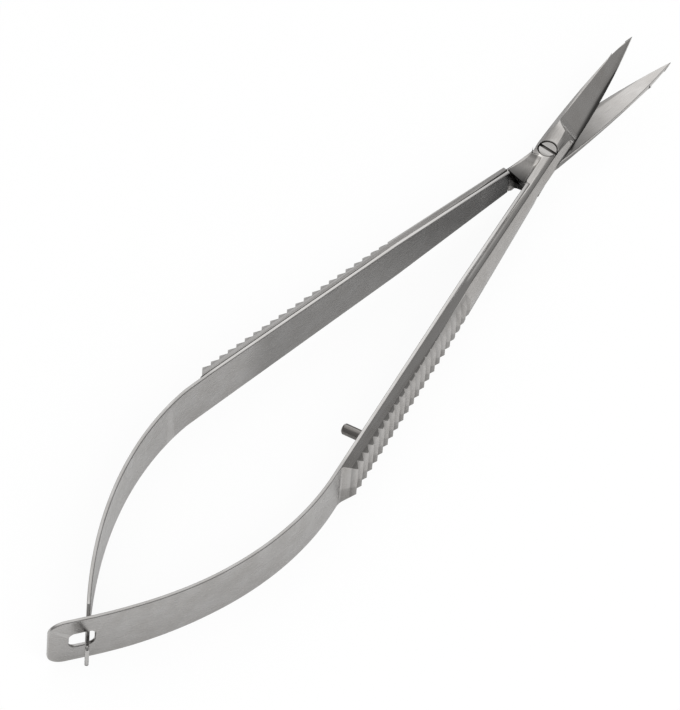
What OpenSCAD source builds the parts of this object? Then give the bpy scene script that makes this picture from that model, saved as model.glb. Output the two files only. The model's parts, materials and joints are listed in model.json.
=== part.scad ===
// Tweezer scissors: two blade halves that cross on a pivot screw, each with a ridged grip
// bar. A leaf spring lies along the inner face of each grip and bows out behind it. The
// left spring ends in a tongue with a head, which hooks through a slot in the right one,
// so the springs hold the tool open and the fingers squeeze the grips to cut.
// The tool lies on its side. +X runs to the blade tips, +Y to the left grip and +Z along
// the pivot. The origin is under the middle of the tool, on the surface that it lies on.
// Each half is drawn closed, with the inner face of its grip along X, and then opened.

/* [Whole tool] */
// Distance from the pivot to the blade tips, along the closed grips
tip_reach = 22.6; // [18:0.1:30]
// Distance from the pivot back to the end of the slotted spring
rear_reach = 97.6; // [97:0.1:104]
// Angle between each grip and the middle line when the tool is open
open_angle = 10.15; // [9:0.05:12]
// Angle that each half turns before the stop pin meets the other spring
squeeze_angle = 8.4; // [6:0.1:8.8]
// Gap between each grip's inner face and the middle line when closed
inner_gap = 0.11; // [0.05:0.01:0.3]

/* [Grip bars] */
// Distance from the pivot back to the rear ridge of the grip
grip_rear = 56.2; // [53:0.1:57]
// Length of the ridged stretch of the grip
ridged_l = 30.9; // [20:0.1:36]
// Distance from one ridge to the next
ridge_pitch = 1.4; // [1:0.05:2]
// Height of a ridge's crest above the plain outer face of the bar
ridge_rise = 0.3; // [0.1:0.05:0.5]
// Depth of the groove between ridges below the plain outer face
groove_depth = 0.35; // [0.1:0.05:0.5]
// Thickness of the bar behind the spring, where it has no ridges
bar_t = 1.25; // [1:0.05:1.6]
// Angle of the ramp at the rear of the bar
ramp_angle = 48; // [35:1:60]
// Radius of the hollow at the foot of the ramp
ramp_fillet = 0.8; // [0.4:0.1:1.5]
// Height of the inner face of the grip at its rear
grip_rear_h = 7.5; // [6.5:0.1:8.5]
// Height of the inner face at the front end of the ridges
grip_front_h = 6.4; // [5.6:0.1:7]
// Fall of the bevelled upper and lower sides for each millimetre outwards
bevel_fall = 0.75; // [0.3:0.05:0.9]
// Distance from the middle line to the outer side of the shank where the ridges end
shank_out = 2.06; // [1.9:0.02:2.3]
// Length over which the outer side keeps the direction of the grip in front of the ridges
shank_pull = 6.8; // [3:0.1:9]
// Distance from the middle line towards which the outer side is drawn in behind the joint
neck_out = 1.55; // [1.4:0.05:1.9]
// Length over which it keeps that direction behind the pivot
neck_pull = 13.0; // [10:0.1:15]

/* [Joint] */
// Height of the bar at the shoulder of the joint
shoulder_h = 4.0; // [3.6:0.1:4.6]
// Radius of the shoulder around the pivot, where the bar is cut to half its height
shoulder_r = 6.4; // [5.8:0.1:7]
// Gap left between the shoulder and the end of the other half's plate when open
web_gap = 0.75; // [0.5:0.05:1]
// Thickness of the joint plate where the blade starts
root_t = 1.6; // [1.4:0.05:1.9]
// Distance from the middle line to the outer side of the plate
plate_out = 1.93; // [1.75:0.01:2.2]
// Distance from the middle line to the rear corner of the plate on the other side
flare_w = 3.1; // [2.6:0.05:3.4]
// Distance from the middle line to the narrowest place on that side
waist_w = 1.45; // [1.4:0.05:1.7]
// Running gap between the two plates
plate_gap = 0.02; // [0.01:0.01:0.06]
// Thickness of the plate's web, beside the rib that carries on the bar
web_t = 1.0; // [0.8:0.05:1.3]
// Radius of the hollow between the web and the rib
web_r = 0.95; // [0.7:0.05:1.2]
// Radius of the hollow at the front end of the web
web_end_r = 4.0; // [1:0.1:5]
// Distance from the pivot back to the upper edge of that hollow
web_front = 1.6; // [1.5:0.05:2]

/* [Blades] */
// Distance from the middle line to the back of the blade at its root
spine_w = 1.66; // [1.5:0.02:1.9]
// Distance from the middle line to the tip, on the side of the half's own grip
tip_offset = 0.93; // [0.7:0.01:1.1]
// Bulge of the cutting edge outside a straight line
edge_belly = 0.54; // [0.2:0.02:0.8]
// Bulge of the back of the blade outside a straight line
spine_belly = 0.52; // [0.2:0.02:0.8]
// Thickness of the blade at the cutting edge's fullest point
edge_t = 0.16; // [0.06:0.02:0.2]
// Rise of the ground face for each millimetre from the cutting edge
grind_rise = 0.42; // [0.3:0.01:0.5]
// Radius of the hollow where the ground face starts
grind_r = 2.4; // [1.5:0.1:3]
// Distance from the pivot to the start of the ground face
grind_start = 2.5; // [2.3:0.05:3.5]
// Slant of the line where the ground face starts
grind_slant = 19; // [0:1:30]
// Height of the bevel along the back of the blade, on the line from root to tip
back_bevel_h = 1.15; // [1:0.01:1.5]

/* [Pivot screw] */
// Radius of the screw's head
head_r = 1.25; // [1.15:0.05:1.3]
// Thickness of the head
head_t = 0.7; // [0.5:0.05:0.9]
// Radius of the screw's shank
shank_r = 0.9; // [0.7:0.05:1]
// Radius of the riveted end
rivet_r = 1.15; // [1.1:0.05:1.3]
// Thickness of the riveted end
rivet_t = 0.4; // [0.3:0.05:0.6]
// Running clearance around the screw
screw_gap = 0.04; // [0.02:0.01:0.08]
// Width of the screwdriver slot
driver_w = 0.4; // [0.3:0.05:0.5]
// Depth of the screwdriver slot
driver_depth = 0.35; // [0.2:0.05:0.45]

/* [Leaf springs] */
// Thickness of the spring strip
leaf_t = 0.5; // [0.3:0.05:0.6]
// Height of the strip at its rear end
leaf_rear_h = 8.0; // [7.6:0.1:9]
// Height of the strip where it bows out furthest
leaf_mid_h = 7.6; // [7.5:0.05:8]
// Distance from the end of the slotted spring forward to the place where the springs cross
tail_back = 4.0; // [3.4:0.1:5]
// Distance from the crossing forward to the place where the strip bows out furthest
mid_ahead = 13.6; // [8:0.1:20]
// Distance from the crossing forward to the place where the rear reaches its full height
full_ahead = 4.6; // [3:0.1:6]
// Distance of that crossing to the right of the middle line
hook_shift = 0.85; // [0:0.05:1]
// Angle between each spring and the middle line where they cross
hook_angle = 36.7; // [32:0.1:42]
// Length over which the rear of the spring keeps that direction before it bends
rear_pull = 22.1; // [16:0.1:26]
// Length over which the front of the spring keeps the direction of the grip
front_pull = 4.3; // [3:0.1:8]
// Length of spring behind the grip that is still straight
straight_l = 2.3; // [1.8:0.1:4]
// Clearance between the front end of the strip and the step in the bar
leaf_end_gap = 0.1; // [0.05:0.05:0.3]

/* [Hook] */
// Length of the slot along the right spring
slot_l = 3.3; // [3:0.1:4]
// Height of the slot
slot_h = 2.7; // [2.4:0.1:3.2]
// Radius of the slot's corners
slot_corner_r = 0.8; // [0.4:0.1:1.1]
// Distance from the crossing back to the middle of the slot
slot_back = 0.7; // [0.4:0.1:0.9]
// Clearance of the tongue inside the slot, above and below
tongue_gap = 0.15; // [0.1:0.05:0.3]
// Distance from the crossing forward to the shoulders of the tongue
tongue_front = 1.9; // [1.4:0.1:3]
// Distance that the tongue's head reaches past the crossing
head_reach = 3.2; // [2.8:0.1:4]
// Length of the head
hook_head_l = 1.1; // [0.8:0.1:1.4]
// Height that the head stands past the slot, above and below
head_catch = 0.25; // [0.2:0.05:0.4]
// Radius of the corners at the end of the slotted spring
end_corner_r = 1.8; // [1:0.1:2.5]

/* [Stop pin] */
// Distance from the pivot back to the pin
pin_back = 49.9; // [46:0.1:52]
// Radius of the pin
pin_r = 0.75; // [0.5:0.05:0.9]
// Depth that the pin is set into the bar
pin_set = 0.55; // [0.3:0.05:0.6]
// Length of the bevel at the pin's free end
pin_bevel = 0.25; // [0.1:0.05:0.4]
// Clearance around the pin where it passes the spring
pin_gap = 0.05; // [0.03:0.01:0.1]
// Gap left between the pin and the other spring when squeezed
stop_gap = 0.05; // [0.02:0.01:0.1]

/* [Hidden] */
$fn = 64;
// Overrun of every cut past the face that it leaves
over = 1;
// Steps along a blade's edge, a spring's bow, a rounded corner and the shank's side
blade_steps = 14;
bow_steps = 36;
corner_steps = 8;
shank_steps = 8;

// The open tool lies with its middle over the origin
tip_ahead = tip_reach * cos(open_angle) + tip_offset * sin(open_angle);
pivot_x = (rear_reach - tip_ahead) / 2;
mid_z = leaf_rear_h / 2;
hook_reach = rear_reach - tail_back;

// The bar across its thickness, from the middle line outwards
leaf_out = inner_gap + leaf_t;
bar_out = leaf_out + bar_t;
crest_y = bar_out + ridge_rise;
root_y = bar_out - groove_depth;
ramp_rise = crest_y - leaf_out;

// The bar along its length, from the pivot backwards
ridge_front = grip_rear - ridged_l;
ridge_count = floor(ridged_l / ridge_pitch);
foot_straight = (ramp_rise - ramp_fillet * (1 - cos(ramp_angle))) / tan(ramp_angle);
foot_l = foot_straight + ramp_fillet * sin(ramp_angle);
leaf_front = shoulder_r;

// Outer side of the shank from the ridges to the pivot
shank_rear = grip_rear - ridge_count * ridge_pitch;
shank_curve = [[-shank_rear, shank_out], [-shank_rear + shank_pull, shank_out],
               [-neck_pull, neck_out], [0, plate_out]];
shank_side = [for (i = [0:shank_steps]) cubic(shank_curve, i / shank_steps)];

// Share of the pitch from the rear of a ridge to its crest
crest_share = 0.43;
// Angle left at the thin end of the ramp's hollow, so that it isn't a feather edge
foot_angle = 14;
// Stations of the height, from the pivot forwards, as shares of the reach to the tip
root_x_share = 0.11;
root_x = tip_reach * root_x_share;
tip_top_share = 0.8;
// Corners of the plate on the side away from its own grip, as shares of shoulder and waist
knee_x_share = 0.35;
knee_w_share = 1.17;
waist_x_share = 0.24;
spine_x_share = 0.11;
// Outward places at the shoulder of the shank's two bevels, as shares of the bar's side
bevel_edge_share = 0.38;
steep_edge_share = 0.66;
// Falls of the shank's upper bevel for each millimetre towards the pivot and outwards
front_fall = 0.05;
front_fall_out = 0.45;
// Falls of the steeper bevel below it, outwards on the plate's side and on the other one
steep_fall = 0.055;
steep_fall_plate = 2.3;
steep_fall_out = 1.2;
// Rise of that bevel in front of the pivot, where it ends at the ground face
root_rise = 0.15;
// Length of that stretch, as a share of the distance to the ground face
root_bevel_share = 1.25;
// Falls of the drafted side behind the other half's plate
draft_fall = 0.15;
draft_fall_out = 5;
// Height of the hook's tongue and head
tongue_h = slot_h - 2 * tongue_gap;
hook_head_h = slot_h + 2 * head_catch;
// Height of the rounding on the screw's head, as a share of its radius
dome_share = 0.12;
// Share of the crossing's shift that each spring makes up on its first pull
shift_share = 0.36;
// Radius of the bores around the shank
bore_r = shank_r + screw_gap;
// Distance between the springs at the pin when the tool is squeezed
stop_angle = open_angle - squeeze_angle;
pin_l = 2 * (pin_back * sin(stop_angle) + inner_gap) - stop_gap;

// Height of the plate's upper face above the middle of the tool
function top_z(x) = x < 0
    ? shoulder_h / 2 + (root_t - shoulder_h / 2) * (x + shoulder_r) / (root_x + shoulder_r)
    : root_t - (root_t - root_t * tip_top_share) * max(0, x - root_x) / (tip_reach - root_x);

// A point turned about the pivot
function turned(p, a) = [p.x * cos(a) - p.y * sin(a), p.x * sin(a) + p.y * cos(a)];

// Points from a to b, bulging to the left of the way by the belly
function bowed(a, b, belly, steps) =
    let (d = (b - a) / norm(b - a))
    [for (i = [0:steps]) let (t = i / steps) a + (b - a) * t + [-d.y, d.x] * belly * 4 * t * (1 - t)];

// A point and the direction at share t of a cubic curve with the four given points
function cubic(p, t) = pow(1 - t, 3) * p[0] + 3 * pow(1 - t, 2) * t * p[1]
    + 3 * (1 - t) * t * t * p[2] + pow(t, 3) * p[3];
function cubic_way(p, t) = pow(1 - t, 2) * (p[1] - p[0]) + 2 * (1 - t) * t * (p[2] - p[1])
    + t * t * (p[3] - p[2]);

// Middle of a spring from the crossing to the front, for side 1, left, or -1, right
function bow(side) =
    let (start = [-hook_reach, -hook_shift],
         join = turned([-grip_rear - straight_l, side * (inner_gap + leaf_t / 2)], -side * open_angle),
         ahead = turned([1, 0], -side * open_angle))
    [start,
     start + rear_pull * [cos(hook_angle), side * sin(hook_angle)] + [0, hook_shift * shift_share],
     join - front_pull * ahead,
     join];

// Everything above the sloping plane through a point, with its falls along x and y
module above_plane(p, fall_x, fall_y) {
    n = [fall_x, fall_y, 1];
    translate(p)
        rotate(a = acos(1 / norm(n)), v = [-fall_y, fall_x, 0])
            translate([-rear_reach, -rear_reach, 0])
                cube([2 * rear_reach, 2 * rear_reach, rear_reach]);
}

// Grip bar seen from above: ramp, ridges, plain stretch and the step past the spring's end
module bar_plan() {
    foot = -grip_rear - foot_straight;
    hollow = [for (a = [foot_angle:(ramp_angle - foot_angle) / 4:ramp_angle])
        [foot - ramp_fillet * (sin(ramp_angle) - sin(a)), leaf_out + ramp_fillet * (1 - cos(a))]];
    ridges = [for (i = [0:ridge_count - 1]) let (x = -grip_rear + i * ridge_pitch)
        each [[x, crest_y], [x + ridge_pitch * (1 - crest_share), root_y]]];
    polygon(concat(
        [[foot - ramp_fillet * sin(ramp_angle), leaf_out]],
        hollow,
        ridges,
        shank_side,
        [[0, inner_gap],
         [-leaf_front + leaf_end_gap, inner_gap],
         [-leaf_front + leaf_end_gap, leaf_out]]));
}

// Place of the plate's end, which lies square to the other half's grip when open
function web_end(y) = [-(shoulder_r - web_gap + y * sin(2 * open_angle)) / cos(2 * open_angle), y];

// Joint plate and blade seen from above
module blade_plan() {
    tip = [tip_reach, tip_offset];
    spine_root = [spine_x_share * shoulder_r, -spine_w];
    edge_root = [0, plate_out];
    polygon(concat(
        [web_end((inner_gap + plate_out) / 2),
         web_end(-flare_w),
         [-knee_x_share * shoulder_r, -waist_w * knee_w_share],
         [-waist_x_share * shoulder_r, -waist_w]],
        bowed(spine_root, tip, -spine_belly, blade_steps),
        bowed(tip, edge_root, -edge_belly, blade_steps)));
}

// Side view of a half's greatest height, from the rear of the grip to the tip
module height_profile() {
    rear = grip_rear + foot_l + over;
    rear_h = grip_rear_h + (grip_rear_h - grip_front_h) * (rear - grip_rear) / ridged_l;
    top = [[-rear, rear_h / 2], [-ridge_front, grip_front_h / 2], [-shoulder_r, shoulder_h / 2],
           [root_x, root_t], [tip_reach + over, root_t * tip_top_share]];
    low = [for (i = [len(top) - 1:-1:0]) [top[i].x, -top[i].y]];
    polygon(concat(top, low));
}

// Outward place and height of the line where the shank's steep bevel starts, at the shoulder
steep_y = inner_gap + steep_edge_share * (plate_out - inner_gap);
steep_z = shoulder_h / 2 - (steep_edge_share - bevel_edge_share) * (plate_out - inner_gap) * front_fall_out;

// Bevels that make the bar narrower at its outer face than at the spring
module side_bevels(steep_out) {
    fall = (grip_rear_h - grip_front_h) / 2 / ridged_l;
    above_plane([-grip_rear, leaf_out, grip_rear_h / 2], fall, bevel_fall);
    // The shank is rounder: a gentle bevel, then a steep one
    edge_y = inner_gap + bevel_edge_share * (plate_out - inner_gap);
    above_plane([-shoulder_r, edge_y, shoulder_h / 2], front_fall, front_fall_out);
    intersection() {
        above_plane([-shoulder_r, steep_y, steep_z], steep_fall, steep_out);
        translate([-2 * rear_reach, -rear_reach, 0])
            cube([2 * rear_reach, 2 * rear_reach, rear_reach]);
    }
}

// The steep bevel in front of the pivot, which rises until the ground face cuts it off
module root_bevel() {
    intersection() {
        above_plane([0, steep_y, steep_z - steep_fall * shoulder_r], -root_rise, steep_fall_plate);
        translate([0, -rear_reach, 0])
            cube([grind_start * root_bevel_share, 2 * rear_reach, rear_reach]);
    }
}

// Drafted outer side behind the other half's plate, below the middle
module side_draft() {
    mirror([0, 0, 1])
        intersection() {
            above_plane([-shoulder_r, neck_side(), 0], draft_fall, draft_fall_out);
            translate([-rear_reach, -rear_reach, 0])
                cube([rear_reach, 2 * rear_reach, rear_reach]);
        }
}

// Distance from the middle line to the outer side of the shank at the shoulder
function neck_side() = lookup(-shoulder_r, shank_side);

// Wheel-ground face of the blade: a hollow at the root, then a flat slope to the edge
module grind() {
    chord = atan2(tip_offset - plate_out, tip_reach);
    edge_z = edge_t + grind_rise * edge_belly;
    translate([0, plate_out, edge_z])
        rotate([0, 0, chord])
            rotate([-atan(grind_rise), 0, 0])
                translate([grind_start, 0, 0])
                    rotate([0, 0, grind_slant])
                        rotate([90, 0, 0])
                            linear_extrude(height = 2 * tip_reach, center = true) {
                                translate([grind_r, grind_r])
                                    circle(grind_r);
                                translate([grind_r, 0])
                                    square([2 * tip_reach, tip_reach]);
                                translate([0, grind_r])
                                    square([2 * grind_r, tip_reach]);
                            }
}

// Side view of the room over the web, which ends in a hollow rise at zero
module web_room(r) {
    translate([-r, web_t + r])
        circle(r);
    translate([-r - 2 * shoulder_r, web_t])
        square([2 * shoulder_r, 2 * shoulder_r]);
    translate([-2 * r, web_t + r])
        square([2 * r, shoulder_r]);
}

// Room over the web, with a hollow rise to the rib at its side and to the screw in front
module web_hollow() {
    rise = top_z(-web_front) - web_t;
    web_run = sqrt(rise * (2 * web_end_r - rise));
    intersection() {
        translate([-2 * shoulder_r, 0, 0])
            rotate([90, 0, 90])
                linear_extrude(height = 2 * shoulder_r)
                    web_room(web_r);
        translate([web_end_r - web_front - web_run, 0, 0])
            rotate([90, 0, 0])
                linear_extrude(height = 4 * shoulder_r, center = true)
                    web_room(web_end_r);
    }
}

// Narrow bevel along the back of the blade
module back_bevel() {
    run = [tip_reach - spine_x_share * shoulder_r, tip_offset + spine_w];
    // The plane rises at 45 degrees from the back towards the edge
    slope = [run.y, -run.x] / norm(run);
    intersection() {
        above_plane([spine_x_share * shoulder_r, -spine_w, back_bevel_h], slope.x, slope.y);
        translate([-waist_x_share * shoulder_r, -2 * tip_reach, 0])
            cube([2 * tip_reach, 2 * tip_reach, tip_reach]);
    }
}

// One half, drawn closed: grip towards +Y, plate and blade in the upper half of the height
module half() {
    difference() {
        intersection() {
            union() {
                difference() {
                    translate([0, 0, -leaf_rear_h / 2])
                        linear_extrude(height = leaf_rear_h)
                            bar_plan();
                    // Room for the other half's plate, below the middle
                    translate([0, 0, plate_gap / 2 - leaf_rear_h])
                        cylinder(r = shoulder_r, h = leaf_rear_h, $fn = 96);
                }
                translate([0, 0, plate_gap / 2])
                    linear_extrude(height = leaf_rear_h)
                        blade_plan();
            }
            rotate([90, 0, 0])
                linear_extrude(height = 4 * grip_rear_h, center = true)
                    height_profile();
        }
        side_bevels(steep_fall_plate);
        root_bevel();
        mirror([0, 0, 1])
            side_bevels(steep_fall_out);
        side_draft();
        grind();
        web_hollow();
        back_bevel();
        translate([0, 0, -leaf_rear_h])
            cylinder(r = bore_r, h = 2 * leaf_rear_h);
    }
}

// Puts a closed half or its fittings at the pivot and opens them, side 1 left, -1 right
module opened(side) {
    translate([pivot_x, 0, mid_z])
        rotate([0, 0, -side * open_angle])
            children();
}

// Right half: its plate lies on top and holds the hollow for the screw's head
module right_blade_half() {
    color([0.66, 0.65, 0.64])
        opened(-1)
            difference() {
                mirror([0, 1, 0])
                    half();
                translate([0, 0, head_seat()])
                    cylinder(r = head_r + screw_gap, h = leaf_rear_h);
                // Blind hole for the stop pin, from the bar's inner face
                translate([-pin_back, -leaf_out + over, 0])
                    rotate([90, 0, 0])
                        cylinder(r = pin_r, h = over + pin_set);
            }
}

// Left half: its plate lies below and holds the hollow for the riveted end
module left_blade_half() {
    color([0.60, 0.59, 0.58])
        opened(1)
            difference() {
                mirror([0, 0, 1])
                    half();
                translate([0, 0, -head_seat() - head_t + rivet_t - leaf_rear_h])
                    cylinder(r = rivet_r + screw_gap, h = leaf_rear_h);
            }
}

// Height of the seat under the screw's head
function head_seat() = top_z(head_r) - head_t;

// Screw: slotted head, shank through both plates and a riveted end flush underneath
module pivot_screw() {
    top = head_seat() + head_t;
    dome = head_r * dome_share;
    color([0.55, 0.54, 0.52])
        translate([pivot_x, 0, mid_z])
            difference() {
                rotate_extrude()
                    polygon([
                        [0, -top],
                        [rivet_r, -top],
                        [rivet_r, -top + rivet_t - screw_gap],
                        [shank_r, -top + rivet_t - screw_gap],
                        [shank_r, head_seat() + screw_gap],
                        [head_r, head_seat() + screw_gap],
                        [head_r, top - dome],
                        [head_r - dome, top],
                        [0, top]]);
                translate([-driver_w / 2, -head_r - over, top - driver_depth])
                    cube([driver_w, 2 * (head_r + over), driver_depth + over]);
            }
}

// Spring strip seen from above, from the tail behind the crossing to the front end
module leaf_plan(side, tail) {
    p = bow(side);
    back = (p[0] - p[1]) / norm(p[1] - p[0]);
    front = turned([-leaf_front, side * (inner_gap + leaf_t / 2)], -side * open_angle);
    places = concat([p[0] + back * tail], [for (i = [0:bow_steps]) cubic(p, i / bow_steps)], [front]);
    ways = concat([-back], [for (i = [0:bow_steps]) cubic_way(p, i / bow_steps)], [front - p[3]]);
    one_side = [for (i = [0:len(places) - 1]) let (w = ways[i] / norm(ways[i]))
        places[i] + [-w.y, w.x] * leaf_t / 2];
    other_side = [for (i = [len(places) - 1:-1:0]) let (w = ways[i] / norm(ways[i]))
        places[i] - [-w.y, w.x] * leaf_t / 2];
    polygon(concat(one_side, other_side));
}

// Side view of the strip's height, from the upper points of its rear end to the front
module leaf_profile(rear_end) {
    c = cos(open_angle);
    top = concat(rear_end, [
        [-hook_reach + full_ahead, leaf_rear_h / 2],
        [-hook_reach + mid_ahead, leaf_mid_h / 2],
        [-grip_rear * c, grip_rear_h / 2],
        [-ridge_front * c, grip_front_h / 2],
        [-leaf_front * c, leaf_front_z()],
        [0, leaf_front_z()]]);
    low = [for (i = [len(top) - 1:-1:0]) [top[i].x, -top[i].y]];
    rotate([90, 0, 0])
        linear_extrude(height = 4 * grip_rear_h, center = true)
            polygon(concat(top, low));
}

// Half height of the bar where the strip ends
function leaf_front_z() = shoulder_h / 2
    + (grip_front_h - shoulder_h) / 2 * (leaf_front - shoulder_r) / (ridge_front - shoulder_r);

// Right spring: runs past the crossing to a rounded end, with the slot for the tongue
module right_leaf_spring() {
    tail = (rear_reach - hook_reach) / cos(hook_angle);
    corner = [for (i = [0:corner_steps]) let (a = 90 * i / corner_steps)
        [-rear_reach + end_corner_r * (1 - cos(a)), leaf_rear_h / 2 - end_corner_r * (1 - sin(a))]];
    color([0.68, 0.67, 0.66])
        translate([pivot_x, 0, mid_z])
            difference() {
                intersection() {
                    translate([0, 0, -leaf_rear_h / 2])
                        linear_extrude(height = leaf_rear_h)
                            leaf_plan(-1, tail);
                    leaf_profile(corner);
                }
                translate([-hook_reach, -hook_shift, 0])
                    rotate([0, 0, -hook_angle])
                        translate([-slot_back, 0, 0])
                            slot_cut();
                opened_pin_hole();
            }
}

// Slot with round corners, through the strip along Y
module slot_cut() {
    x = slot_l / 2 - slot_corner_r;
    z = slot_h / 2 - slot_corner_r;
    rotate([90, 0, 0]) {
        translate([-x, -slot_h / 2, -2 * leaf_t])
            cube([2 * x, slot_h, 4 * leaf_t]);
        translate([-slot_l / 2, -z, -2 * leaf_t])
            cube([slot_l, 2 * z, 4 * leaf_t]);
        for (i = [-1, 1], k = [-1, 1])
            translate([i * x, k * z, 0])
                cylinder(r = slot_corner_r, h = 4 * leaf_t, center = true);
    }
}

// Hole in the right spring where the stop pin passes it
module opened_pin_hole() {
    rotate([0, 0, open_angle])
        translate([-pin_back, 0, 0])
            rotate([90, 0, 0])
                cylinder(r = pin_r + pin_gap, h = leaf_out + bar_t);
}

// Left spring: narrows to the tongue that passes the slot, and ends in the head
module left_leaf_spring() {
    c = cos(hook_angle);
    shoulder_x = -hook_reach + tongue_front * c;
    end_x = -hook_reach - head_reach * c;
    color([0.64, 0.63, 0.62])
        translate([pivot_x, 0, mid_z])
            intersection() {
                translate([0, 0, -leaf_rear_h / 2])
                    linear_extrude(height = leaf_rear_h)
                        leaf_plan(1, head_reach);
                leaf_profile([
                    [end_x - over, hook_head_h / 2],
                    [end_x + hook_head_l * c, hook_head_h / 2],
                    [end_x + hook_head_l * c, tongue_h / 2],
                    [shoulder_x, tongue_h / 2],
                    [shoulder_x, leaf_rear_h / 2]]);
            }
}

// Pin on the right half that meets the left spring when the tool is squeezed
module stop_pin() {
    color([0.42, 0.41, 0.40])
        opened(-1)
            translate([-pin_back, -leaf_out - pin_set, 0])
                rotate([-90, 0, 0])
                    rotate_extrude()
                        polygon([
                            [0, 0],
                            [pin_r - pin_gap / 2, 0],
                            [pin_r - pin_gap / 2, pin_set + leaf_t + pin_l - pin_bevel],
                            [pin_r - pin_gap / 2 - pin_bevel, pin_set + leaf_t + pin_l],
                            [0, pin_set + leaf_t + pin_l]]);
}

right_blade_half();
left_blade_half();
right_leaf_spring();
left_leaf_spring();
pivot_screw();
stop_pin();
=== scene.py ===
"""Tweezer scissors in satin steel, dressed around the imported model. Metres, +X to the tips."""
import json
import math

import bmesh
import bpy
from mathutils import Matrix, Vector


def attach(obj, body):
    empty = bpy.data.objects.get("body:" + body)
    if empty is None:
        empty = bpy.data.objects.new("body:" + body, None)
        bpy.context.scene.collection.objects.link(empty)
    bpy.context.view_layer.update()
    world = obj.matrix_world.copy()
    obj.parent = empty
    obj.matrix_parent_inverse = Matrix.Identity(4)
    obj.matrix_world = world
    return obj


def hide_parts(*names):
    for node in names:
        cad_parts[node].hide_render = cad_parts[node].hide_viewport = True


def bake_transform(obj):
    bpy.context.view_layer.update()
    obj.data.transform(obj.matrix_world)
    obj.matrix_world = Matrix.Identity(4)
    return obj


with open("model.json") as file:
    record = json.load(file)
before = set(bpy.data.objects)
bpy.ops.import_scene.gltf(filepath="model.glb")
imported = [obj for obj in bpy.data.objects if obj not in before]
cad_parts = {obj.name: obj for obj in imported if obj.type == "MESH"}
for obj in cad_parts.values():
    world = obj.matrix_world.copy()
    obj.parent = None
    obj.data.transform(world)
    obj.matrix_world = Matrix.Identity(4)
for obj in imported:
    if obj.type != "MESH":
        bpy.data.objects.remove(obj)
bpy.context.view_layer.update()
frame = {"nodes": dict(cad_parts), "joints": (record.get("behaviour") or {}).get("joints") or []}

MM = 0.001
PIVOT = Vector(frame["joints"][0]["pos_m"])
RIGHT = -1
LEFT = 1

# Photograph's camera: where it stood and how it was aimed
VIEW_AZIMUTH = math.radians(-56.54)
VIEW_ELEVATION = math.radians(53.51)
VIEW_ROLL = math.radians(4.96)
VIEW_DISTANCE = 985.9 * MM
VIEW_TARGET = Vector((-1.605, 0, 4.0)) * MM
VIEW_ASIDE = Vector((2.135, 0.532)) * MM
SENSOR = 36.0
LENS = 406.3
CLIP_NEAR = 0.1
CLIP_FAR = 20.0

# Halves, drawn closed and then opened about the pivot
OPEN_ANGLE = math.radians(10.15)
INNER_GAP = 0.11 * MM
GRIP_REAR = 56.2 * MM
BAR_T = 1.25 * MM
RIDGED_L = 30.9 * MM
RIDGE_FRONT = GRIP_REAR - RIDGED_L
GROOVE_DEPTH = 0.35 * MM
RIDGE_RISE = 0.3 * MM
GRIND_START = 2.5 * MM

# Leaf springs: reaches and LEAF_FRONT are from the pivot, places ahead and back from the crossing
LEAF_T = 0.5 * MM
LEAF_REAR_H = 8.0 * MM
LEAF_MID_H = 7.6 * MM
GRIP_REAR_H = 7.5 * MM
GRIP_FRONT_H = 6.4 * MM
SHOULDER_H = 4.0 * MM
LEAF_FRONT = 6.4 * MM
REAR_REACH = 97.6 * MM
TAIL_BACK = 4.0 * MM
MID_AHEAD = 13.6 * MM
FULL_AHEAD = 4.6 * MM
HOOK_REACH = REAR_REACH - TAIL_BACK
HOOK_SHIFT = 0.85 * MM
HOOK_ANGLE = math.radians(36.7)
SHIFT_SHARE = 0.36
REAR_PULL = 22.1 * MM
FRONT_PULL = 4.3 * MM
STRAIGHT_L = 2.3 * MM
LEAF_EDGE_R = 0.13 * MM
LEAF_EDGE_SEGMENTS = 3
RIM_ANGLE = math.radians(40)
BEND_STEP = 1.0 * MM
CUT_DEPTH = 4 * LEAF_T

# Hook of the springs, from their crossing
SLOT_L = 3.3 * MM
SLOT_H = 2.7 * MM
SLOT_CORNER_R = 0.8 * MM
SLOT_CORNER_SEGMENTS = 8
SLOT_BACK = 0.7 * MM
TONGUE_GAP = 0.15 * MM
TONGUE_FRONT = 1.9 * MM
HEAD_REACH = 3.2 * MM
HOOK_HEAD_L = 1.1 * MM
HEAD_CATCH = 0.25 * MM
END_CORNER_R = 1.8 * MM
END_CORNER_STEPS = 8

# Stop pin, from the pivot, and its hole in the right spring
PIN_BACK = 49.9 * MM
PIN_R = 0.75 * MM
PIN_GAP = 0.05 * MM
PIN_HOLE_SIDES = 48


def make_camera():
    """The photograph's view: a long lens, aimed a little beside the target."""
    a, e = VIEW_AZIMUTH, VIEW_ELEVATION
    back = Vector((math.sin(a) * math.cos(e), -math.cos(a) * math.cos(e), math.sin(e)))
    level = Vector((math.cos(a), math.sin(a), 0))
    upright = back.cross(level)
    right = level * math.cos(VIEW_ROLL) + upright * math.sin(VIEW_ROLL)
    up = upright * math.cos(VIEW_ROLL) - level * math.sin(VIEW_ROLL)
    place = VIEW_TARGET + back * VIEW_DISTANCE - right * VIEW_ASIDE.x - up * VIEW_ASIDE.y
    data = bpy.data.cameras.new("camera")
    data.sensor_width = SENSOR
    data.lens = LENS
    data.clip_start = CLIP_NEAR
    data.clip_end = CLIP_FAR
    camera = bpy.data.objects.new("camera", data)
    turn = Matrix((right, up, back)).transposed().to_4x4()
    camera.matrix_world = Matrix.Translation(place) @ turn
    bpy.context.scene.collection.objects.link(camera)
    bpy.context.scene.camera = camera


# Colour sockets of the Mix node: two inputs and the result
MIX_A = 6
MIX_B = 7
MIX_RESULT = 2


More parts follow.
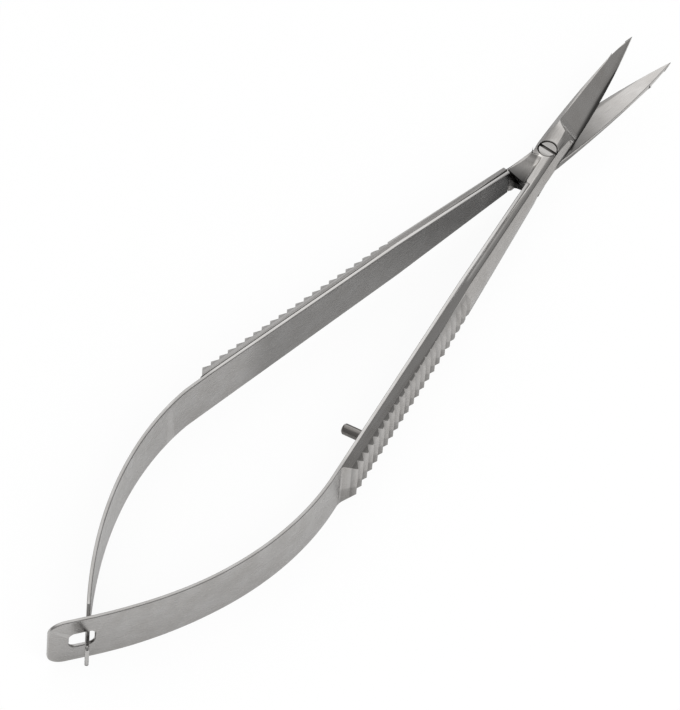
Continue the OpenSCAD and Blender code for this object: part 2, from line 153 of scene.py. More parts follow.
class Nodes:
    """Adds shader nodes to the emptied tree of a material or world, and links them."""

    def __init__(self, owner):
        owner.use_nodes = True
        self.tree = owner.node_tree
        self.tree.nodes.clear()

    def add(self, kind, settings=None, inputs=None):
        """A new node. An input that is another node's socket is linked, and any other is set."""
        node = self.tree.nodes.new(kind)
        for key, value in (settings or {}).items():
            setattr(node, key, value)
        for key, value in (inputs or {}).items():
            if isinstance(value, bpy.types.NodeSocket):
                self.tree.links.new(value, node.inputs[key])
            else:
                node.inputs[key].default_value = value
        return node

    def math(self, operation, a, b=0.0):
        return self.add("ShaderNodeMath", {"operation": operation}, {0: a, 1: b}).outputs[0]

    def vector(self, operation, a, b):
        return self.add("ShaderNodeVectorMath", {"operation": operation}, {0: a, 1: b}).outputs[0]

    def scaled(self, vector, factor):
        node = self.add("ShaderNodeVectorMath", {"operation": "SCALE"}, {0: vector, "Scale": factor})
        return node.outputs[0]

    def noise(self, place, look):
        return self.add("ShaderNodeTexNoise", None, {"Vector": place, **look}).outputs["Fac"]

    def mix(self, factor, a, b, blend="MIX"):
        node = self.add("ShaderNodeMix", {"data_type": "RGBA", "blend_type": blend},
                        {"Factor": factor, MIX_A: a, MIX_B: b})
        return node.outputs[MIX_RESULT]

    def ramp(self, value, limits, levels):
        """Smooth change from one level to the other between two limits of the value."""
        node = self.add("ShaderNodeMapRange", {"interpolation_type": "SMOOTHSTEP"},
                        {"Value": value, "From Min": limits[0], "From Max": limits[1],
                         "To Min": levels[0], "To Max": levels[1]})
        return node.outputs["Result"]

    def rise(self, value, limits):
        return self.ramp(value, limits, (0.0, 1.0))

    def fall(self, value, limits):
        return self.ramp(value, limits, (1.0, 0.0))

    def band(self, value, limits):
        """One between the two middle limits, falling softly to nothing at the outer ones."""
        return self.math("MULTIPLY", self.rise(value, limits[:2]), self.fall(value, limits[2:]))

    def product(self, *masks):
        total = masks[0]
        for mask in masks[1:]:
            total = self.math("MULTIPLY", total, mask)
        return total

    def choice(self, mask, inside, outside):
        """The inside value where the mask is one, and the outside value where it is nothing."""
        return self.math("ADD", self.math("MULTIPLY", mask, inside),
                         self.math("MULTIPLY", self.math("SUBTRACT", 1.0, mask), outside))

    def tone_within_mask(self, mask, tone):
        """Factor that is one outside the mask and the tone inside it."""
        return self.math("ADD", 1.0, self.math("MULTIPLY", mask, self.math("SUBTRACT", tone, 1.0)))


def rgb(r, g, b):
    return (r, g, b, 1.0)


# Studio: white sweep underneath, one bright side above and a darker room around it
WHITE = rgb(1, 1, 1)
FLOOR_SIZE = 6.0
FLOOR_MATT = rgb(0.9, 0.9, 0.9)
CAMERA_WHITE = 0.93
GLOSSY_WHITE = 0.12
WORLD_SIDE = Vector((0.36, 0.56, 0.75)).normalized()
WORLD_DARK = 0.36
WORLD_BRIGHT = 1.35
LOBE_START = 0.62
KEY_PLACE = Vector((-0.5, -0.95, 0.95))
KEY_SIZE = 1.6
KEY_POWER = 22.0


def make_floor():
    """White floor that shows white to the camera and in the steel, and keeps a faint shadow."""
    bpy.ops.mesh.primitive_plane_add(size=FLOOR_SIZE)
    floor = bpy.context.object
    floor.name = "floor"
    mat = bpy.data.materials.new("floor_white")
    n = Nodes(mat)
    rays = n.add("ShaderNodeLightPath").outputs
    mirrored = n.math("MAXIMUM", rays["Is Glossy Ray"], rays["Is Transmission Ray"])
    white = n.add("ShaderNodeEmission", None, {"Color": WHITE, "Strength": 1.0})
    matt = n.add("ShaderNodeBsdfDiffuse", None, {"Color": FLOOR_MATT})
    share = n.math("ADD", n.math("MULTIPLY", rays["Is Camera Ray"], CAMERA_WHITE),
                   n.math("MULTIPLY", mirrored, GLOSSY_WHITE))
    mixed = n.add("ShaderNodeMixShader", None, {0: share, 1: matt.outputs[0], 2: white.outputs[0]})
    n.add("ShaderNodeOutputMaterial", None, {"Surface": mixed.outputs[0]})
    floor.data.materials.append(mat)


def make_world():
    """Soft studio all round: white to the camera, brighter on one side for the steel."""
    world = bpy.data.worlds.new("studio")
    bpy.context.scene.world = world
    n = Nodes(world)
    way = n.add("ShaderNodeTexCoord").outputs["Generated"]
    side = n.add("ShaderNodeVectorMath", {"operation": "DOT_PRODUCT"}, {0: way, 1: WORLD_SIDE})
    level = n.ramp(side.outputs["Value"], (LOBE_START, 1.0), (WORLD_DARK, WORLD_BRIGHT))
    soft = n.add("ShaderNodeBackground", None, {"Color": WHITE, "Strength": level})
    white = n.add("ShaderNodeBackground", None, {"Color": WHITE, "Strength": 1.0})
    camera_ray = n.add("ShaderNodeLightPath").outputs["Is Camera Ray"]
    mixed = n.add("ShaderNodeMixShader", None,
                  {0: camera_ray, 1: soft.outputs[0], 2: white.outputs[0]})
    n.add("ShaderNodeOutputWorld", None, {"Surface": mixed.outputs[0]})


def make_key():
    """One broad lamp beside the viewer, which lights the floor and leaves the steel to the room."""
    data = bpy.data.lights.new("key", "AREA")
    data.energy = KEY_POWER
    data.size = KEY_SIZE
    key = bpy.data.objects.new("key", data)
    key.location = KEY_PLACE
    key.rotation_euler = KEY_PLACE.to_track_quat("Z", "Y").to_euler()
    key.visible_glossy = False
    bpy.context.scene.collection.objects.link(key)


# Satin steel: brushed lines, soft clouds and fine pits, with noise scales in 1/mm
LINES = {"Scale": 1.0, "Detail": 4.0, "Roughness": 0.65}
CLOUDS = {"Scale": 0.35, "Detail": 3.0, "Roughness": 0.55}
PITS = {"Scale": 7.0, "Detail": 2.0, "Roughness": 0.6}
NOISE_LIMITS = (0.3, 0.7)
LINE_SHADE = (0.95, 1.05)
CLOUD_SHADE = (0.94, 1.06)
CLOUD_WARM = rgb(1.02, 1.0, 0.975)
CLOUD_COOL = rgb(0.99, 1.0, 1.015)
# Edges lighten towards a pale tone, partly as wear and partly as a painted highlight
WEAR_AND_SHEEN_LIMITS = (0.51, 0.58)
WEAR_AND_SHEEN_TONE = rgb(0.6, 0.59, 0.58)
WEAR_AND_SHEEN_SHARE = 0.35
WORN_POLISH = 0.08
LINE_ROUGHNESS = 0.05
LINE_RELIEF = 0.7
PIT_RELIEF = 0.3
RELIEF_STRENGTH = 0.35
RELIEF_DEPTH = 0.01 * MM


def steel(name, tone, roughness, grain, coordinates, grime_and_shade=None):
    """Satin steel with worn edges, lightened partly as wear and partly as a painted highlight. Grain
    scales its lines in each of the coordinates.
    """
    mat = bpy.data.materials.new(name)
    n = Nodes(mat)
    place = coordinates(n)
    lines = n.noise(n.vector("MULTIPLY", place, grain), LINES)
    clouds = n.noise(place, CLOUDS)
    pits = n.noise(place, PITS)
    wear_and_sheen = n.rise(n.add("ShaderNodeNewGeometry").outputs["Pointiness"], WEAR_AND_SHEEN_LIMITS)
    shade = n.math("MULTIPLY", n.ramp(lines, NOISE_LIMITS, LINE_SHADE),
                   n.ramp(clouds, NOISE_LIMITS, CLOUD_SHADE))
    toned = n.mix(1.0, n.mix(clouds, CLOUD_WARM, CLOUD_COOL), rgb(*tone), "MULTIPLY")
    # Convex edges lighten: partly wear, partly a painted highlight
    colour = n.mix(n.math("MULTIPLY", wear_and_sheen, WEAR_AND_SHEEN_SHARE), n.scaled(toned, shade), WEAR_AND_SHEEN_TONE)
    # Grime, painted shade and painted highlights of the piece scale its colour
    if grime_and_shade:
        colour = n.scaled(colour, grime_and_shade(n, place))
    rough = n.ramp(lines, NOISE_LIMITS, (roughness + LINE_ROUGHNESS, roughness - LINE_ROUGHNESS))
    rough = n.math("SUBTRACT", rough, n.math("MULTIPLY", wear_and_sheen, WORN_POLISH))
    relief = n.math("ADD", n.math("MULTIPLY", lines, LINE_RELIEF), n.math("MULTIPLY", pits, PIT_RELIEF))
    bump = n.add("ShaderNodeBump", None,
                 {"Strength": RELIEF_STRENGTH, "Distance": RELIEF_DEPTH, "Height": relief})
    shader = n.add("ShaderNodeBsdfPrincipled", None,
                   {"Base Color": colour, "Metallic": 1.0, "Roughness": rough,
                    "Normal": bump.outputs[0]})
    n.add("ShaderNodeOutputMaterial", None, {"Surface": shader.outputs[0]})
    return mat


def from_pivot(n):
    """Object coordinates in metres from the pivot."""
    whole = n.add("ShaderNodeTexCoord").outputs["Object"]
    return n.vector("SUBTRACT", whole, PIVOT)


def pivot_place(n):
    """Object coordinates in mm from the pivot."""
    return n.scaled(from_pivot(n), 1 / MM)


def closed_place(side):
    """Object coordinates in mm from the pivot, turned to run along one closed half."""
    def coordinates(n):
        turned_back = n.add("ShaderNodeMapping", {"vector_type": "POINT"},
                            {"Vector": from_pivot(n), "Rotation": (0, 0, side * OPEN_ANGLE),
                             "Scale": (1 / MM, 1 / MM, 1 / MM)})
        return turned_back.outputs[0]
    return coordinates


def strip_place(n):
    """The strip's own coordinates in mm: along it, through it and up it."""
    return n.add("ShaderNodeAttribute", {"attribute_name": "strip"}).outputs["Vector"]


# Grooves between the ridges: tones at their roots, with grime and painted shade, and on the crests, with
# a painted highlight, and soft borders in mm
GROOVE_TONES = (0.70, 1.06)
GROOVE_FADE = 0.9
GROOVE_SOFT = 0.02


def groove_grime_and_shade(n, x, out, up):
    """Darker towards the roots of the grooves between the ridges, partly grime and partly painted shade,
    and a little lighter on the crests as a painted highlight.
    """
    face = (INNER_GAP + LEAF_T + BAR_T) / MM
    root = face - GROOVE_DEPTH / MM
    front = -RIDGE_FRONT / MM
    depth = n.ramp(out, (root, face + RIDGE_RISE / MM), GROOVE_TONES)
    on_grip = n.fall(x, (front - GROOVE_FADE, front))
    side_face = n.rise(out, (root - GROOVE_SOFT, root))
    return n.choice(n.math("MULTIPLY", on_grip, side_face), depth, 1.0)


# Painted shade and highlights of a half, with the grooves' grime and the ground faces' brighter steel.
# Their limits are in mm in its closed directions, which are along from the pivot, outwards and up to its
# plate. Each mask is soft between a pair of limits.
# Painted shade, nearly black, in the corner by the shoulder
CORNER_SHADE_RING = (3.4, 4.4, 6.6, 8.0)
CORNER_SHADE_OUT = (0.9, 1.3)
CORNER_SHADE_UP = (0.85, 1.0)
CORNER_SHADE_FRONT = (-3.0, -2.2)
CORNER_SHADE_TONE = 0.3
SKIN_UP = (0.2, 0.4)

# Painted shade on the plate beside the rib, and a painted highlight on the rib
WEB_OUT = (-0.5, 0.3)
WEB_FRONT = (-1.6, -0.6)
WEB_ALONG = (-6.6, -1.2)
WEB_TONES = (0.06, 0.8)
RIB_UP = (1.05, 1.2)
RIB_OUT = (-0.7, -0.4)
RIB_GAIN = 1.6

# Painted shade on the plate's waist side
WAIST_ALONG = (-1.6, -0.6, 3.2, 4.4)
WAIST_OUT = (-1.5, 0.3)
WAIST_TONE = 0.45

BLADE_START = (3.0, 4.4)
BACK_OUT = (-0.85, -0.6)
BACK_TONE = 0.5
GROUND_UP = (0.3, 0.5)
GROUND_TONE = 1.22

# Painted shadow line along the cutting edge
LINE_UP = (0.0, 0.02, 0.24, 0.42)
LINE_OUT = (1.4, 1.6)
LINE_START = (-2.0, -0.4)
LINE_TONE = 0.22

# Painted shade at the roots of the blades' flat faces, and a painted sheen towards their tips
FLAT_UP = (0.02, 0.06)
FLAT_START = (0.5, 2.0)
FLAT_ALONG = (1.5, 16.5)
FLAT_TONES = (0.26, 1.18)

# Painted shade on the bars' sides away from their plates
UNDER_UP = (-1.2, -0.8)
UNDER_FRONT = (-6.0, -3.0)
UNDER_TONE = 0.76

# Painted shade band and painted highlight across the shank's bevel and side
SHANK_ALONG = (-25.0, -23.5, 1.6, 2.8)
SHANK_OUT = (0.7, 0.8)
SHANK_UP = (0.0, 0.1)
BEVEL_LEAN = 0.29
CREST_OUT = 0.87
CREST_SPREAD = 0.0115
ABOVE_CREST = (-0.7, -0.25)
ABOVE_TONES = (1.9, 1.0)
BELOW_CREST = (-0.12, 0.16)
BELOW_TONES = (0.55, 0.95)
CREST_SOFT = (-0.13, -0.07)


def corner_shade(n, x, out, up):
    """Painted shade, nearly black, in the corner between one half's shoulder and the other half's plate.
    """
    across = n.math("POWER", out, 2.0)
    radius = n.math("SQRT", n.math("ADD", n.math("POWER", x, 2.0), across))
    inside = n.product(n.band(radius, CORNER_SHADE_RING), n.fall(out, CORNER_SHADE_OUT),
                       n.fall(n.math("ABSOLUTE", up), CORNER_SHADE_UP), n.fall(x, CORNER_SHADE_FRONT))
    return n.tone_within_mask(inside, CORNER_SHADE_TONE)


def web_shade_and_rib_highlight(n, x, out, up):
    """Painted shade on the plate beside the rib, darkest at its rear edge, with a painted highlight
    where the rib rises from it.
    """
    rib = n.product(n.rise(up, RIB_UP), n.rise(out, RIB_OUT))
    tone = n.math("MULTIPLY", n.ramp(x, WEB_ALONG, WEB_TONES),
                  n.math("ADD", 1.0, n.math("MULTIPLY", rib, RIB_GAIN)))
    return n.tone_within_mask(n.product(n.fall(out, WEB_OUT), n.fall(x, WEB_FRONT)), tone)


def plate_side_shade(n, x, out, up):
    """Painted shade on the plate's waist side beside the screw and ahead of it."""
    inside = n.product(n.fall(out, WAIST_OUT), n.band(x, WAIST_ALONG), n.rise(up, SKIN_UP))
    return n.tone_within_mask(inside, WAIST_TONE)


def blade_back(n, x, out, up):
    """The bevelled back of the blade is darker."""
    inside = n.product(n.rise(x, BLADE_START), n.fall(out, BACK_OUT), n.rise(up, SKIN_UP))
    return n.tone_within_mask(inside, BACK_TONE)


def ground_face(n, x, out, up):
    """The ground faces of the blades shine a little more than the forged skin."""
    return n.tone_within_mask(n.product(n.rise(x, BLADE_START), n.rise(up, GROUND_UP)), GROUND_TONE)


def edge_shadow_line(n, x, out, up):
    """Painted shadow line where the plate and the cutting edge end over the other half."""
    inside = n.product(n.band(up, LINE_UP), n.rise(out, LINE_OUT), n.rise(x, LINE_START))
    return n.tone_within_mask(inside, LINE_TONE)


def blade_flat_shade_and_sheen(n, x, out, up):
    """Painted shade on the flat faces of the blades at their roots, turning to a painted sheen towards
    the tips.
    """
    tone = n.ramp(x, FLAT_ALONG, FLAT_TONES)
    return n.tone_within_mask(n.product(n.fall(up, FLAT_UP), n.rise(x, FLAT_START)), tone)


def bar_far_side_shade(n, x, out, up):
    """Painted shade, a little darker, on the bars' undersides in their closed directions."""
    return n.tone_within_mask(n.product(n.fall(up, UNDER_UP), n.fall(x, UNDER_FRONT)), UNDER_TONE)


def side_shade_and_highlight(n, x, out, up):
    """The bevel and the side below it run into each other in a soft band of painted shade, with a
    painted highlight on the bevel above it.
    """
    across = n.math("SUBTRACT", out, n.math("MULTIPLY", up, BEVEL_LEAN))
    crest = n.math("ADD", CREST_OUT, n.math("MULTIPLY", x, CREST_SPREAD))
    past = n.math("SUBTRACT", across, crest)
    above = n.ramp(past, ABOVE_CREST, ABOVE_TONES)
    below = n.ramp(past, BELOW_CREST, BELOW_TONES)
    tone = n.choice(n.rise(past, CREST_SOFT), below, above)
    shank = n.product(n.band(x, SHANK_ALONG), n.rise(out, SHANK_OUT), n.rise(up, SHANK_UP))
    return n.tone_within_mask(shank, tone)


HALF_PLACES = (groove_grime_and_shade, corner_shade, web_shade_and_rib_highlight, plate_side_shade, blade_back, ground_face, edge_shadow_line,
               blade_flat_shade_and_sheen, bar_far_side_shade, side_shade_and_highlight)


def half_shade(side):
    """Product of a half's painted shade and highlights, grime and brighter ground faces, in its own
    closed directions.
    """
    def shade(n, place):
        parts = n.add("ShaderNodeSeparateXYZ", None, {"Vector": place}).outputs
        out = n.math("MULTIPLY", parts["Y"], side)
        up = n.math("MULTIPLY", parts["Z"], -side)
        return n.product(*[tone(n, parts["X"], out, up) for tone in HALF_PLACES])
    return shade


# Painted shade on a strip, by the distance in mm from its front end, and a painted highlight on its
# edges
NEAR_ALONG = (-26.0, -1.0)
NEAR_TONE = 0.55
FAR_ALONG = (-46.5, -40.0)
FAR_TONE = 0.66
END_ALONG = (-5.0, -0.2)
END_TONE = 0.33
GRIP_ALONG = (-51.0, -49.0)
EDGE_GAIN = 0.25
BROAD_SOFT = 0.02


def strip_shade_and_highlight(n, place):
    """Painted shade on the strip's broad faces where they lie on the grip, most at the front, and a
    painted highlight on its edges along the grip.
    """
    parts = n.add("ShaderNodeSeparateXYZ", None, {"Vector": place}).outputs
    end = n.add("ShaderNodeAttribute", {"attribute_name": "front"}).outputs["Fac"]
    front = n.math("SUBTRACT", parts["X"], end)
    tone = n.product(n.ramp(front, NEAR_ALONG, (1.0, NEAR_TONE)),
                     n.ramp(front, FAR_ALONG, (1.0, FAR_TONE)),
                     n.ramp(front, END_ALONG, (1.0, END_TONE)))
    edge = n.math("ADD", 1.0, n.math("MULTIPLY", n.rise(front, GRIP_ALONG), EDGE_GAIN))
    face = LEAF_T / 2 / MM
    broad = n.rise(n.math("ABSOLUTE", parts["Y"]), (face - BROAD_SOFT, face))
    return n.choice(broad, tone, edge)


# Weight that a piece's broad faces have in the shading of the corners beside them
FLAT_WEIGHT = 60


def object_from(bm, name, materials):
    """A smooth-shaded piece at the origin, made from a bmesh."""
    mesh = bpy.data.meshes.new(name)
    bm.to_mesh(mesh)
    bm.free()
    for face in mesh.polygons:
        face.use_smooth = True
    for mat in materials:
        mesh.materials.append(mat)
    piece = bpy.data.objects.new(name, mesh)
    bpy.context.scene.collection.objects.link(piece)
    return piece


def keep_flats_flat(piece):
    """Leans the shading of round corners on the broad faces beside them."""
    lean = piece.modifiers.new("flats", "WEIGHTED_NORMAL")
    lean.mode = "FACE_AREA"
    lean.weight = FLAT_WEIGHT
    lean.keep_sharp = True


def sharp_edges(bm, least_angle):
    """Edges whose two faces turn by more than an angle."""
    return [e for e in bm.edges
            if e.is_manifold and e.calc_face_angle() > least_angle and e.calc_length() > 0]


# Corners of the pieces that are copies of the solid ones, and how the copies are cleaned
CORNER_R = 0.07 * MM
RIDGE_R = 0.08 * MM
PLATE_R = 0.5 * MM
HONED_W = 0.13 * MM
SCREW_CORNER_R = 0.025 * MM
PIN_CORNER_R = 0.06 * MM
CORNER_SEGMENTS = 2
PLATE_SEGMENTS = 5
HALF_CORNER_ANGLE = math.radians(24)
SMALL_CORNER_ANGLE = math.radians(35)
MERGE_DIST = 0.002 * MM
FLAT_ANGLE = math.radians(0.5)

# Where a half's corners differ, in mm in its closed directions. PLATE_LEVEL is the most that an
# edge of the plate rises for each mm of its length.
RIDGES_AHEAD = 0.3
PLATE_ALONG = (-1.5, 1.2)
PLATE_OUT = -1.2
PLATE_UP = 1.2
PLATE_LEVEL = 0.3
HONED_OUT = 0.6
HONED_UP = (0.1, 0.6)

# Rounds of bevels on a half: size, segments, and whether short edges may limit it
HALF_ROUNDS = ((RIDGE_R, CORNER_SEGMENTS, True), (PLATE_R, PLATE_SEGMENTS, True),
               (CORNER_R, CORNER_SEGMENTS, False), (HONED_W, CORNER_SEGMENTS, False))


def solid_copy(node):
    """Clean copy of a solid piece's mesh, with its loose triangles merged into whole faces."""
    bm = bmesh.new()
    bm.from_mesh(frame["nodes"][node].data)
    bmesh.ops.remove_doubles(bm, verts=bm.verts, dist=MERGE_DIST)
    bmesh.ops.dissolve_limit(bm, angle_limit=FLAT_ANGLE, verts=bm.verts, edges=bm.edges)
    return bm


def closed_point(point, side):
    """A point in a half's own closed directions, in mm: along, outwards and up to its plate."""
    p = Matrix.Rotation(side * OPEN_ANGLE, 3, "Z") @ (point - PIVOT) / MM
    return Vector((p.x, side * p.y, -side * p.z))


def corner_size(edge, side):
    """Radius or width that the hand-finished corner has at an edge."""
    a, b = (closed_point(v.co, side) for v in edge.verts)
    middle = (a + b) / 2
    upright = abs((a - b).normalized().z)
    if middle.x < -RIDGE_FRONT / MM + RIDGES_AHEAD:
        return RIDGE_R
    on_plate = PLATE_ALONG[0] < middle.x < PLATE_ALONG[1] and middle.z > PLATE_UP
    if on_plate and middle.y < PLATE_OUT and upright < PLATE_LEVEL:
        return PLATE_R
    on_blade = middle.x > GRIND_START / MM and middle.y > HONED_OUT
    if on_blade and HONED_UP[0] < middle.z < HONED_UP[1]:
        return HONED_W
    return CORNER_R


def make_half(side, name, node, body, material):
    """A forged half: a copy of the solid one, with its corners rounded zone by zone."""
    bm = solid_copy(node)
    bmesh.ops.recalc_face_normals(bm, faces=bm.faces)
    for size, segments, limited in HALF_ROUNDS:
        corners = [e for e in sharp_edges(bm, HALF_CORNER_ANGLE) if corner_size(e, side) == size]
        bmesh.ops.bevel(bm, geom=corners, offset=size, offset_type="OFFSET", segments=segments,
                        profile=0.5, affect="EDGES", clamp_overlap=limited, material=-1)
    piece = object_from(bm, name, [material])
    keep_flats_flat(piece)
    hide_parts(node)
    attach(piece, body)


def make_small(name, node, body, material, corner):
    """The screw or the pin: a copy of the solid one with its corners rounded."""
    bm = solid_copy(node)
    bmesh.ops.bevel(bm, geom=sharp_edges(bm, SMALL_CORNER_ANGLE), offset=corner,
                    offset_type="OFFSET", segments=CORNER_SEGMENTS, profile=0.5, affect="EDGES",
                    clamp_overlap=True, material=-1)
    piece = object_from(bm, name, [material])
    keep_flats_flat(piece)
    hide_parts(node)
    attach(piece, body)


def turned(x, y, angle):
    return Vector((x * math.cos(angle) - y * math.sin(angle), x * math.sin(angle) + y * math.cos(angle)))


def bow_points(side):
    """Four points of a spring's curve, crossing first and grip last, as places from the pivot."""
    start = Vector((-HOOK_REACH, -HOOK_SHIFT))
    join = turned(-GRIP_REAR - STRAIGHT_L, side * (INNER_GAP + LEAF_T / 2), -side * OPEN_ANGLE)
    ahead = turned(1, 0, -side * OPEN_ANGLE)
    pull = Vector((math.cos(HOOK_ANGLE), side * math.sin(HOOK_ANGLE))) * REAR_PULL
    return [start, start + pull + Vector((0, HOOK_SHIFT * SHIFT_SHARE)), join - ahead * FRONT_PULL, join]


def cubic(p, t):
    """Point of a cubic curve with four points."""
    u = 1 - t
    return p[0] * u ** 3 + p[1] * 3 * u * u * t + p[2] * 3 * u * t * t + p[3] * t ** 3


class Bow:
    """A spring's middle line: straight tail, curve and straight front, by distance along it."""
    STEPS = 400
    HALVINGS = 40

    def __init__(self, side):
        self.side = side
        self.points = bow_points(side)
        self.ahead = turned(1, 0, -side * OPEN_ANGLE)
        self.behind = (self.points[0] - self.points[1]).normalized()
        self.curve = [cubic(self.points, i / self.STEPS) for i in range(self.STEPS + 1)]
        self.far = [0.0]
        for a, b in zip(self.curve, self.curve[1:]):
            self.far.append(self.far[-1] + (b - a).length)
        self.length = self.far[-1]
        self.pivot = self.length + GRIP_REAR + STRAIGHT_L
        self.front = self.pivot - LEAF_FRONT

    def at(self, s):
        """Place and direction at a distance from the crossing."""
        if s <= 0:
            return self.points[0] - self.behind * s, -self.behind
        if s >= self.length:
            return self.points[3] + self.ahead * (s - self.length), self.ahead
        low, high = 0, self.STEPS
        while high - low > 1:
            mid = (low + high) // 2
            if self.far[mid] <= s:
                low = mid
            else:
                high = mid
        share = (s - self.far[low]) / (self.far[high] - self.far[low])
        way = self.curve[min(high + 1, self.STEPS)] - self.curve[max(low - 1, 0)]
        return self.curve[low].lerp(self.curve[high], share), way.normalized()

    def reach(self, x):
        """Distance along the line at which it comes to a distance x behind the pivot."""
        low, high = -2 * TAIL_BACK, self.front
        for _ in range(self.HALVINGS):
            mid = (low + high) / 2
            if self.at(mid)[0].x < -x:
                low = mid
            else:
                high = mid
        return (low + high) / 2


def strip_outline(bow, rear_end):
    """Upper outline of a strip from its rear end to its front, then the lower one back."""
    c = math.cos(OPEN_ANGLE)
    upper = rear_end + [(bow.reach(HOOK_REACH - FULL_AHEAD), LEAF_REAR_H / 2),
                        (bow.reach(HOOK_REACH - MID_AHEAD), LEAF_MID_H / 2),
                        (bow.reach(GRIP_REAR * c), GRIP_REAR_H / 2),
                        (bow.reach(RIDGE_FRONT * c), GRIP_FRONT_H / 2),
                        (bow.front, SHOULDER_H / 2)]
    return upper + [(s, -z) for s, z in reversed(upper)]


def slotted_end():
    """Upper outline of the right spring's round rear end."""
    c = math.cos(HOOK_ANGLE)
    corner = []
    for i in range(END_CORNER_STEPS + 1):
        a = math.pi / 2 * i / END_CORNER_STEPS
        corner.append(((-TAIL_BACK + END_CORNER_R * (1 - math.cos(a))) / c,
                       LEAF_REAR_H / 2 - END_CORNER_R * (1 - math.sin(a))))
    return corner


def tongue_end():
    """Upper outline of the left spring's head, tongue and shoulder."""
    head_h = SLOT_H / 2 + HEAD_CATCH
    tongue_h = SLOT_H / 2 - TONGUE_GAP
    head_front = -HEAD_REACH + HOOK_HEAD_L
    return [(-HEAD_REACH, head_h), (head_front, head_h), (head_front, tongue_h),
            (TONGUE_FRONT, tongue_h), (TONGUE_FRONT, LEAF_REAR_H / 2)]


def carved(bm, cutters):
    """The mesh less each cutter."""
    body = object_from(bm, "body", [])
    tools = [object_from(cutter, "cutter", []) for cutter in cutters]
    for tool in tools:
        cut = body.modifiers.new("cut", "BOOLEAN")
        cut.operation = "DIFFERENCE"
        cut.solver = "EXACT"
        cut.object = tool
    mesh = bpy.data.meshes.new_from_object(body.evaluated_get(bpy.context.evaluated_depsgraph_get()))
    for thing in [body] + tools:
        bpy.data.objects.remove(thing)
    result = bmesh.new()
    result.from_mesh(mesh)
    return result


def slot_cutter():
    """Block with four round corners that stands through the strip."""
    bm = bmesh.new()
    size = Matrix.Diagonal((SLOT_L, CUT_DEPTH, SLOT_H, 1))
    bmesh.ops.create_cube(bm, size=1.0, matrix=Matrix.Translation((-SLOT_BACK, 0, 0)) @ size)
    through = [e for e in bm.edges if abs((e.verts[0].co - e.verts[1].co).y) > LEAF_T]
    bmesh.ops.bevel(bm, geom=through, offset=SLOT_CORNER_R, offset_type="OFFSET",
                    segments=SLOT_CORNER_SEGMENTS, profile=0.5, affect="EDGES", material=-1)
    return bm


def pin_cutter(bow):
    """Round bar that stands through the strip where the stop pin passes."""
    bm = bmesh.new()
    place = Matrix.Translation((bow.pivot - PIN_BACK, 0, 0)) @ Matrix.Rotation(math.pi / 2, 4, "X")
    radius = PIN_R + PIN_GAP
    bmesh.ops.create_cone(bm, cap_ends=True, segments=PIN_HOLE_SIDES, radius1=radius, radius2=radius,
                          depth=CUT_DEPTH, matrix=place)
    return bm


def flat_strip(outline, cutters):
    """Straight strip in metres, with its holes cut and its edges rounded."""
    bm = bmesh.new()
    face = bm.faces.new([bm.verts.new((s, -LEAF_T / 2, z)) for s, z in outline])
    raised = bmesh.ops.extrude_face_region(bm, geom=[face])["geom"]
    top = [v for v in raised if isinstance(v, bmesh.types.BMVert)]
    bmesh.ops.translate(bm, vec=(0, LEAF_T, 0), verts=top)
    bmesh.ops.recalc_face_normals(bm, faces=bm.faces)
    if cutters:
        bm = carved(bm, cutters)
    rims = [e for e in sharp_edges(bm, RIM_ANGLE)
            if abs(e.verts[0].co.y - e.verts[1].co.y) < LEAF_T / 2]
    bmesh.ops.bevel(bm, geom=rims, offset=LEAF_EDGE_R, offset_type="OFFSET", segments=LEAF_EDGE_SEGMENTS,
                    profile=0.5, affect="EDGES", clamp_overlap=False, material=-1)
    return bm


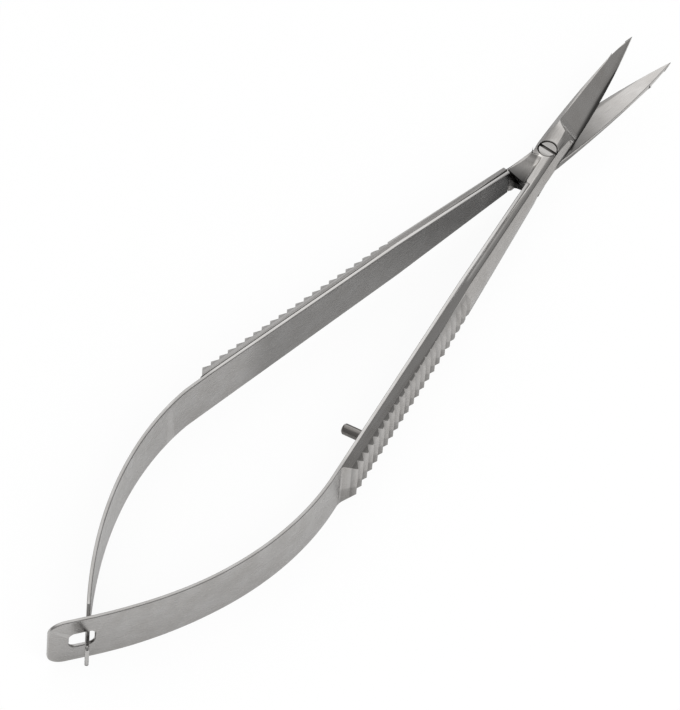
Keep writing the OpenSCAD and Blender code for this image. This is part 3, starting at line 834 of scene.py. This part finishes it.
def bend_strip(bm, bow):
    """Cuts the strip into short stretches, notes its own coordinates and lays it on its bow."""
    for i in range(1, int(bow.length / BEND_STEP)):
        everything = bm.verts[:] + bm.edges[:] + bm.faces[:]
        bmesh.ops.bisect_plane(bm, geom=everything, dist=MERGE_DIST, plane_co=(i * BEND_STEP, 0, 0),
                               plane_no=(1, 0, 0))
    strip = bm.verts.layers.float_vector.new("strip")
    front = bm.verts.layers.float.new("front")
    for v in bm.verts:
        v[strip] = v.co / MM
        v[front] = bow.front / MM
        place, way = bow.at(v.co.x)
        aside = Vector((-way.y, way.x))
        flat = place + aside * v.co.y
        v.co = Vector((PIVOT.x + flat.x, PIVOT.y + flat.y, PIVOT.z + v.co.z))


def make_spring(bow, name, node, rear_end, cutters, material):
    """A leaf spring: a flat strip with round edges, bent along its bow."""
    bm = flat_strip(strip_outline(bow, rear_end), cutters)
    bend_strip(bm, bow)
    piece = object_from(bm, name, [material])
    keep_flats_flat(piece)
    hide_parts(node)
    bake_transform(piece)


# Finishes: tone, roughness, and the scale of the brushed lines in each direction
HALF_TONE = (0.40, 0.388, 0.376)
SPRING_TONE = (0.40, 0.392, 0.384)
SCREW_TONE = (0.31, 0.302, 0.294)
PIN_TONE = (0.16, 0.15, 0.14)
BROAD_ROUGHNESS = 0.3
SCREW_ROUGHNESS = 0.25
PIN_ROUGHNESS = 0.35
ALONG_GRAIN = (0.5, 9.0, 9.0)
EVEN_GRAIN = (5.0, 5.0, 5.0)

make_camera()
make_floor()
make_world()
make_key()

for half_side, hand in ((RIGHT, "right"), (LEFT, "left")):
    half_steel = steel(f"{hand}_half_steel", HALF_TONE, BROAD_ROUGHNESS, ALONG_GRAIN,
                       closed_place(half_side), half_shade(half_side))
    make_half(half_side, f"{hand}_forging", f"{hand}_blade_half", f"{hand}_half", half_steel)

spring_steel = steel("spring_steel", SPRING_TONE, BROAD_ROUGHNESS, ALONG_GRAIN, strip_place, strip_shade_and_highlight)
right_bow = Bow(RIGHT)
right_cuts = [slot_cutter(), pin_cutter(right_bow)]
make_spring(right_bow, "right_strip", "right_leaf_spring", slotted_end(), right_cuts,
            spring_steel)
make_spring(Bow(LEFT), "left_strip", "left_leaf_spring", tongue_end(), [], spring_steel)

screw_steel = steel("screw_steel", SCREW_TONE, SCREW_ROUGHNESS, EVEN_GRAIN, pivot_place)
pin_steel = steel("pin_steel", PIN_TONE, PIN_ROUGHNESS, EVEN_GRAIN, pivot_place)
make_small("screw", "pivot_screw", "spring_pair", screw_steel, SCREW_CORNER_R)
make_small("pin", "stop_pin", "right_half", pin_steel, PIN_CORNER_R)

bpy.context.scene.view_settings.view_transform = "Standard"
